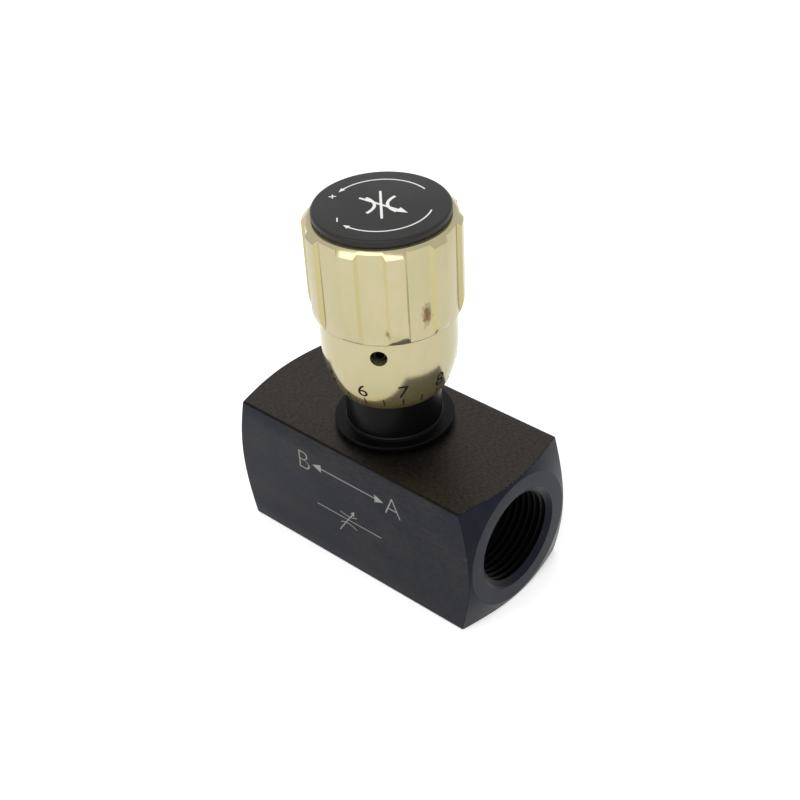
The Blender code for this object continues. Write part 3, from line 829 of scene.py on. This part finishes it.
def engraving():
    """Port letters with a double arrow, and the throttle symbol, as cutters for the front face.

    Each is drawn with x along the body from its middle and y up from its underside.
    """
    depth = 1.0
    shapes = [
        prism(stroke((-11.7, 16.4), (10.5, 16.4), 0.36), 0, depth),
        prism(band(bow((-3.46, 18.14), (-0.37, 17.66), (2.37, 18.53)), SYMBOL_WIDTH), 0, depth),
        prism(band(bow((-3.52, 14.41), (-1.07, 15.16), (2.11, 14.3)), SYMBOL_WIDTH), 0, depth),
        prism(stroke((-4.15, 11.47), (0.7, 18.7), SYMBOL_WIDTH), 0, depth),
        prism([(0.15, 19.1), (1.35, 18.3), (1.7, 20.4)], 0, depth),
        prism(stroke((-9.5, 29.0), (9.5, 29.0), 0.42), 0, depth),
        prism([(-12.4, 29.0), (-9.2, 30.3), (-9.2, 27.7)], 0, depth),
        prism([(12.4, 29.0), (9.2, 27.7), (9.2, 30.3)], 0, depth),
        thicken(letter("B", LETTER_HEIGHT, (-15.2, 26.2), weight=LETTER_WEIGHT), depth),
        thicken(letter("A", LETTER_HEIGHT, (15.2, 26.2), weight=LETTER_WEIGHT), depth),
    ]
    place = Matrix.Translation((0, -BODY_SIDE / 2 * MM, 0)) @ Matrix.Rotation(math.pi / 2, 4, "X")
    for shape in shapes:
        bmesh.ops.translate(shape, verts=shape.verts, vec=(0, 0, -ENGRAVED_DEPTH * MM))
        bmesh.ops.transform(shape, matrix=place, verts=shape.verts)
    return shapes


def make_body():
    steel = ground_black_steel_painted_light("black_oxide_drawn_painted_light")
    turned = turned_black_steel("black_oxide_turned")
    # Painted shade: the thread, the spindle well and the passages take a near-black, barely shiny copy of the
    # oxide, so the insides of the holes read as shaded.
    thread = satin_black("black_oxide_thread_painted_shade", (0.001, 0.001, 0.0011), 0.35, 0.1)
    mark = ink("laser_mark", (0.25, 0.25, 0.23), 0.6)
    body = body_blank(steel, turned)
    for shape in engraving():
        cut(body, shape, mark)
    cut(body, spindle_well(), thread)
    half = BODY_LENGTH / 2
    for side, passage_z in ((1, UPPER_PASSAGE_Z), (-1, LOWER_PASSAGE_Z)):
        face = (side * half, 0, AXIS_Z)
        cut(body, aim(thread_tool(), (-side, 0, 0), face), thread)
        cut(body, aim(port_mouth(), (-side, 0, 0), face), turned)
        passage = prism(polygon(PASSAGE_R, 32), 0, PASSAGE_LENGTH)
        cut(body, aim(passage, (-side, 0, 0), (side * PASSAGE_START_X, 0, passage_z)), thread)
    hand_over(body, "valve_body")


# ---------------------------------------------------------------- bonnet


def make_bonnet():
    black = satin_black("bonnet_black", (0.0012, 0.0012, 0.0012), 0.32, 0.09)
    outline = rounded(
        [
            (PISTON_BORE_R, BONNET_BOTTOM_Z),
            (BONNET_LAND_R - 0.5, BONNET_BOTTOM_Z),
            (BONNET_LAND_R, BONNET_BOTTOM_Z + 0.5),
            (BONNET_LAND_R, LAND_GROOVE_Z[0], 0.1),
            (LAND_GROOVE_R, LAND_GROOVE_Z[0]),
            (LAND_GROOVE_R, LAND_GROOVE_Z[1]),
            (BONNET_LAND_R, LAND_GROOVE_Z[1], 0.1),
            (BONNET_LAND_R, LAND_TOP_Z),
            (SHANK_R, SHANK_Z[0]),
            (SHANK_R, SHANK_Z[1]),
            (BONNET_SEAT_R, SHANK_Z[1]),
            (BONNET_SEAT_R, FLANGE_Z[0]),
            (FLANGE_R, FLANGE_Z[0], 0.15),
            (FLANGE_R, FLANGE_Z[1], 0.3),
            (COLLAR_STEP_R + 0.05, FLANGE_Z[1], 0.15),
            (COLLAR_STEP_R, COLLAR_STEP_Z, 0.1),
            (COLLAR_R, COLLAR_Z[0], 0.2),
            (COLLAR_R, COLLAR_Z[1], 0.4),
            (NECK_R, COLLAR_Z[1]),
            (NECK_R, NECK_TOP_Z, 0.5),
            (STEM_BORE_R, NECK_TOP_Z, 0.2),
            (STEM_BORE_R, WIPER_GROOVE_Z[1]),
            (PISTON_BORE_R, WIPER_GROOVE_Z[1]),
            (PISTON_BORE_R, WIPER_GROOVE_Z[0]),
            (STEM_BORE_R, WIPER_GROOVE_Z[0]),
            (STEM_BORE_R, PISTON_BORE_Z[1]),
            (PISTON_BORE_R, PISTON_BORE_Z[0]),
        ]
    )
    bonnet = add_object("bonnet_fine", lathe(outline), black)
    for side in (1, -1):
        hole = prism(polygon(SPANNER_HOLE_R, 24), NECK_TOP_Z - SPANNER_HOLE_DEPTH, NECK_TOP_Z + 1)
        bmesh.ops.translate(hole, verts=hole.verts, vec=(side * SPANNER_HOLE_RING_R * MM, 0, 0))
        cut(bonnet, hole)
    hand_over(bonnet, "bonnet")


# ---------------------------------------------------------------- knob


def skirt_curve(count=40):
    """The skirt's outline, from its lower edge to the grip."""
    points = []
    for step in range(count + 1):
        share = 1 - math.cos(math.pi / 2 * step / count)
        height = SKIRT_BOTTOM_Z + (SKIRT_CURVE_TOP_Z - SKIRT_BOTTOM_Z) * share
        points.append((skirt_radius(height), height))
    return [*points, (SKIRT_R, GRIP_BOTTOM_Z)]


def grip_curve(count=12):
    """The grip's rounded lower end, from the skirt out to the ribs."""
    points = []
    for step in range(1, count + 1):
        turn = math.pi / 2 * step / count
        radius = SKIRT_R + (GRIP_R - SKIRT_R) * math.sin(turn)
        points.append((radius, GRIP_BOTTOM_Z + GRIP_ROUND_HEIGHT * (1 - math.cos(turn))))
    return points


def flutes():
    """What is cut away between the ribs, whose sides lean."""
    outside_r = GRIP_R + 1
    lean = (RIB_BASE_ANGLE - RIB_TOP_ANGLE) / 2 / (GRIP_R - FLUTE_FLOOR_R)
    half_floor = (math.tau / RIBS - RIB_BASE_ANGLE) / 2
    half_rim = half_floor + lean * (outside_r - FLUTE_FLOOR_R)
    shapes = []
    for index in range(RIBS):
        middle = RIB_DIRECTION + (index + 0.5) * math.tau / RIBS
        floor = arc(FLUTE_FLOOR_R, middle - half_floor, middle + half_floor, 12)
        rim = arc(outside_r, middle + half_rim, middle - half_rim, 12)
        shapes.append(prism(floor + rim, GRIP_BOTTOM_Z - 2, GRIP_TOP_Z + 2))
    return join(shapes)


def lock_axis(shape):
    """Lays a shape built along Z along the locking screw's axis, out from the spindle's."""
    direction = (math.cos(LOCK_DIRECTION), math.sin(LOCK_DIRECTION), 0)
    return aim(shape, direction, (0, 0, LOCK_Z))


def make_knob():
    gold = chromated_zinc_painted_reflection("yellow_chromate_zinc_painted_reflection")
    outline = rounded(
        [
            (SKIRT_BORE_R, SKIRT_BOTTOM_Z),
            *skirt_curve(),
            *grip_curve(),
            (GRIP_R, GRIP_TOP_Z - GRIP_CHAMFER),
            (GRIP_R - GRIP_CHAMFER, GRIP_TOP_Z),
            (RECESS_R, GRIP_TOP_Z, 0.2),
            (RECESS_R, WEB_Z[1]),
            (0, WEB_Z[1]),
            (0, WEB_Z[0]),
            (NECK_BORE_R, WEB_Z[0]),
            (NECK_BORE_R, SKIRT_BORE_TOP_Z + SKIRT_BORE_R - NECK_BORE_R),
            (SKIRT_BORE_R, SKIRT_BORE_TOP_Z),
        ]
    )
    knob = add_object("knob_fine", lathe(outline, KNOB_SIDES), gold)
    cut(knob, flutes())
    soften_edges(knob, 0.14, 28, 2)
    cut(knob, prism(square(WEB_HOLE_SIDE), WEB_Z[0] - 1, WEB_Z[1] + 1))
    cut(knob, lock_axis(prism(polygon(LOCK_HOLE_R, 40), *LOCK_HOLE_REACH)))
    hand_over(knob, "knob_shell")


def skirt_radius(height):
    """The skirt's radius at a height: fuller than an ellipse below, straight above."""
    share = min(1.0, (height - SKIRT_BOTTOM_Z) / (SKIRT_CURVE_TOP_Z - SKIRT_BOTTOM_Z))
    bulge = (1 - (1 - share) ** SKIRT_FULLNESS) ** SKIRT_ROUNDNESS
    return SKIRT_BOTTOM_R + (SKIRT_R - SKIRT_BOTTOM_R) * bulge


def wrap_on_skirt(shape, direction):
    """Bends a flat shape, drawn with x across and y up in metres, onto the skirt as a thin raised layer."""
    thicken(shape, 1.0)
    for vert in shape.verts:
        raised = vert.co.z > 0.5 * MM
        height = vert.co.y / MM
        radius = skirt_radius(height)
        turn = direction + vert.co.x / MM / radius
        radius += PRINT_THICKNESS if raised else -PRINT_THICKNESS
        vert.co = Vector((radius * math.cos(turn), radius * math.sin(turn), height)) * MM
    return shape


def fine_grid(shape, cell=0.4):
    """Splits a flat shape along a square grid, so that it can bend both ways."""
    for axis in (0, 1):
        low = min(vert.co[axis] for vert in shape.verts)
        high = max(vert.co[axis] for vert in shape.verts)
        place, normal = Vector(), Vector()
        normal[axis] = 1
        place[axis] = (math.floor(low / MM / cell) + 1) * cell * MM
        while place[axis] < high:
            parts = list(shape.verts) + list(shape.edges) + list(shape.faces)
            bmesh.ops.bisect_plane(shape, geom=parts, plane_co=place, plane_no=normal)
            place[axis] += cell * MM
    return shape


def make_dial():
    """Ticks and numbers all round the skirt's lower end."""
    black = ink("dial_black", (0.004, 0.0035, 0.003), 0.8)
    shapes = []
    for tick in range(TICKS):
        direction = DIAL_START + math.tau * tick / TICKS
        half = TICK_WIDTH / 2
        corners = ((-half, TICK_Z[0]), (half, TICK_Z[0]), (half, TICK_Z[1]), (-half, TICK_Z[1]))
        flat = bmesh.new()
        flat.faces.new([flat.verts.new((x * MM, z * MM, 0)) for x, z in corners])
        shapes.append(wrap_on_skirt(fine_grid(flat), direction))
    for step in range(DIAL_NUMBERS):
        number = str((DIAL_START_NUMBER + step) % DIAL_NUMBERS)
        direction = DIAL_START + math.tau * step / DIAL_NUMBERS
        flat = letter(number, NUMBER_Z[1] - NUMBER_Z[0], (0, NUMBER_Z[0]), NUMBER_STRETCH)
        shapes.append(wrap_on_skirt(fine_grid(flat), direction))
    dial = add_object("dial_print", join(shapes), black)
    smooth(dial, 40)
    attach(dial, "knob")


# ---------------------------------------------------------------- cap


def make_cap():
    black = satin_black("cap_black", (0.0125, 0.0115, 0.011), 0.38, 0.25, grain=0.015)
    outline = rounded(
        [
            (0, CAP_BOTTOM_Z),
            (PLUG_INNER_R, CAP_BOTTOM_Z),
            (PLUG_INNER_R, PLUG_BOTTOM_Z),
            (PLUG_R - PLUG_CHAMFER, PLUG_BOTTOM_Z),
            (PLUG_R, PLUG_BOTTOM_Z + PLUG_CHAMFER),
            (PLUG_R, CAP_BOTTOM_Z),
            (CAP_R, CAP_BOTTOM_Z, 0.15),
            (CAP_R, CAP_TOP_Z, CAP_EDGE),
            (0, CAP_TOP_Z),
        ],
        6,
    )
    cap = add_object("cap_fine", lathe(outline), black)
    hand_over(cap, "knob_cap")


def towards(angle, distance=1.0):
    """A point on the cap at an angle in degrees from the print's direction."""
    turn = math.radians(PRINT_DIRECTION) + math.radians(angle)
    return Vector((math.cos(turn), math.sin(turn))) * distance


def make_cap_print():
    """White print on the cap: two turning arrows with plus and minus, and a throttle symbol."""
    white = ink("print_white", (0.78, 0.78, 0.77), 0.5)
    base = math.radians(PRINT_DIRECTION)
    shapes = []
    for start, end, tip in CAP_ARCS:
        line = arc(CAP_ARC_R, base + math.radians(start), base + math.radians(end), 48)
        shapes.append(prism(band(line, CAP_ARC_WIDTH), 0, 1))
        head = [towards(tip, CAP_ARC_R)]
        for radius in (CAP_ARC_R - ARROW_HALF_WIDTH, CAP_ARC_R + ARROW_HALF_WIDTH):
            head.append(towards(end, radius))
        shapes.append(prism(head, 0, 1))
    plus = towards(*PLUS_PLACE)
    minus = towards(*MINUS_PLACE)
    along = towards(-90)
    across = Vector((-along.y, along.x))
    for centre, heading in ((plus, along), (plus, across), (minus, across)):
        half = heading * SIGN_HALF_LENGTH
        shapes.append(prism(stroke(centre - half, centre + half, SIGN_WIDTH), 0, 1))
    shapes += throttle_pictogram(along, across)
    for layer, shape in enumerate(shapes):
        top = CAP_TOP_Z + PRINT_THICKNESS + PRINT_LAYER * layer
        for vert in shape.verts:
            vert.co.z = (top if vert.co.z > 0.5 * MM else CAP_TOP_Z - PRINT_THICKNESS) * MM
    piece = add_object("cap_print", join(shapes), white)
    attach(piece, "knob")


def throttle_pictogram(along, across):
    """A variable throttle's symbol in the middle of the cap."""

    def place(points):
        return [tuple(across * x - along * y) for x, y in points]

    shapes = [
        prism(place(stroke((-6.2, 0), (6.2, 0), 0.6)), 0, 1),
        prism(place(band(bow((-3.6, 3.4), (0, 1.5), (3.6, 3.4)), 0.75)), 0, 1),
        prism(place(band(bow((-3.6, -3.4), (0, -1.5), (3.6, -3.4)), 0.75)), 0, 1),
        prism(place(stroke((-3.6, -4.8), (3.0, 4.0), 0.6)), 0, 1),
        prism(place([(4.5, 6.0), (1.9, 4.5), (3.6, 3.2)]), 0, 1),
    ]
    return shapes


# ---------------------------------------------------------------- locking screw


def make_lock_screw():
    steel = satin_black("lock_screw_black", (0.002, 0.002, 0.002), 0.35, 0.15)
    start, end = SCREW_REACH
    outline = [(0, start), (1.4, start)]
    depth = start + SCREW_CHAMFER
    while depth + SCREW_PITCH < end - SCREW_CHAMFER:
        outline.append((SCREW_R, depth + 0.2 * SCREW_PITCH))
        outline.append((SCREW_R, depth + 0.35 * SCREW_PITCH))
        outline.append((SCREW_ROOT_R, depth + 0.75 * SCREW_PITCH))
        depth += SCREW_PITCH
    outline += [(SCREW_R, end - SCREW_CHAMFER), (SCREW_R - SCREW_CHAMFER, end), (0, end)]
    screw = add_object("lock_screw_fine", lock_axis(lathe(outline, SMALL)), steel)
    socket = prism(polygon(SCREW_SOCKET_R, 6), end - SCREW_SOCKET_DEPTH, end + 1)
    cut(screw, lock_axis(socket))
    hand_over(screw, "lock_screw")


# ---------------------------------------------------------------- inner pieces


def dress_inner_pieces():
    """The pieces that the CAD draws well enough keep its mesh and get a finished material."""
    finishes = {
        "spindle": bare_metal("spindle_steel", (0.62, 0.62, 0.63), 0.24),
        "knob_washer": bare_metal("washer_steel", (0.60, 0.60, 0.61), 0.3),
        "knob_screw": satin_black("knob_screw_black", (0.03, 0.03, 0.032), 0.4, 0.5, metallic=0.6),
        "lock_pad": bare_metal("pad_brass", (0.68, 0.48, 0.2), 0.3),
        "flange_o_ring": soft_polymer("o_ring_rubber", (0.016, 0.016, 0.016), 0.55),
        "stem_wiper": soft_polymer("wiper_blue", (0.05, 0.12, 0.30), 0.5),
        "bonnet_backup_ring_lower": soft_polymer("backup_white", (0.82, 0.81, 0.77), 0.5),
    }
    finishes["bonnet_o_ring"] = finishes["flange_o_ring"]
    finishes["stem_o_ring"] = finishes["flange_o_ring"]
    for name in ("bonnet_backup_ring_upper", "stem_backup_ring_lower", "stem_backup_ring_upper"):
        finishes[name] = finishes["bonnet_backup_ring_lower"]
    for name, material in finishes.items():
        mesh = frame["nodes"][name].data
        mesh.materials.clear()
        mesh.materials.append(material)


# ---------------------------------------------------------------- stage


def make_floor():
    corners = [(FLOOR_REACH * x, FLOOR_REACH * y, 0) for x, y in ((-1, -1), (1, -1), (1, 1), (-1, 1))]
    shape = bmesh.new()
    shape.faces.new([shape.verts.new(corner) for corner in corners])
    nodes = Nodes("floor_white")
    glow = {"Emission_Color": (1, 1, 1, 1), "Emission_Strength": FLOOR_GLOW}
    floor = add_object("floor", shape, nodes.finish((0.9, 0.9, 0.9), 0.7, **glow))
    low, _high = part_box("valve_body")
    floor.location.z = low.z - FLOOR_GAP


def add_softbox():
    data = bpy.data.lights.new("softbox", "AREA")
    data.shape = "RECTANGLE"
    data.size, data.size_y = SOFTBOX_SIZE
    data.energy = SOFTBOX_POWER
    light = bpy.data.objects.new("softbox", data)
    bpy.context.scene.collection.objects.link(light)
    light.location = SOFTBOX_PLACE
    light.visible_camera = False
    light.rotation_mode = "QUATERNION"
    heading = Vector(SOFTBOX_TARGET) - Vector(SOFTBOX_PLACE)
    light.rotation_quaternion = heading.to_track_quat("-Z", "Y")


def make_lights():
    world = bpy.data.worlds.new("studio")
    world.use_nodes = True
    background = world.node_tree.nodes["Background"]
    background.inputs["Color"].default_value = (1, 1, 1, 1)
    background.inputs["Strength"].default_value = WORLD_STRENGTH
    bpy.context.scene.world = world
    add_softbox()


def make_camera():
    data = bpy.data.cameras.new("camera")
    data.sensor_width = 36
    data.lens = CAMERA_LENS
    data.clip_start = 0.01
    data.clip_end = 10
    camera = bpy.data.objects.new("camera", data)
    bpy.context.scene.collection.objects.link(camera)
    azimuth = math.radians(CAMERA_AZIMUTH)
    elevation = math.radians(CAMERA_ELEVATION)
    roll = math.radians(CAMERA_ROLL)
    flat = math.cos(elevation)
    back = Vector((math.sin(azimuth) * flat, -math.cos(azimuth) * flat, math.sin(elevation)))
    right = Vector((math.cos(azimuth), math.sin(azimuth), 0))
    up = back.cross(right)
    rolled_right = math.cos(roll) * right + math.sin(roll) * up
    rolled_up = -math.sin(roll) * right + math.cos(roll) * up
    turn = Matrix((rolled_right, rolled_up, back)).transposed()
    camera.matrix_world = Matrix.Translation(CAMERA_PLACE) @ turn.to_4x4()
    bpy.context.scene.camera = camera


with open("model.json") as file:
    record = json.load(file)
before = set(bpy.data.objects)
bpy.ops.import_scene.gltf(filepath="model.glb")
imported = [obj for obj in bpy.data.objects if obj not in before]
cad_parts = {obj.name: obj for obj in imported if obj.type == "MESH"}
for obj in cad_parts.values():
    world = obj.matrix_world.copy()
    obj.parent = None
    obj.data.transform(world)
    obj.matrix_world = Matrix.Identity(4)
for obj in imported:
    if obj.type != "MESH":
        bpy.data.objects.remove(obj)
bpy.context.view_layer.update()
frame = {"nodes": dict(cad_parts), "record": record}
BODIES = frame["record"]["behaviour"]["bodies"]
BODY_OF = {node: body for body, nodes in BODIES.items() for node in nodes}
bpy.context.scene.view_settings.view_transform = "Standard"
make_camera()
make_lights()
make_floor()
make_body()
make_bonnet()
make_knob()
make_dial()
make_cap()
make_cap_print()
make_lock_screw()
dress_inner_pieces()
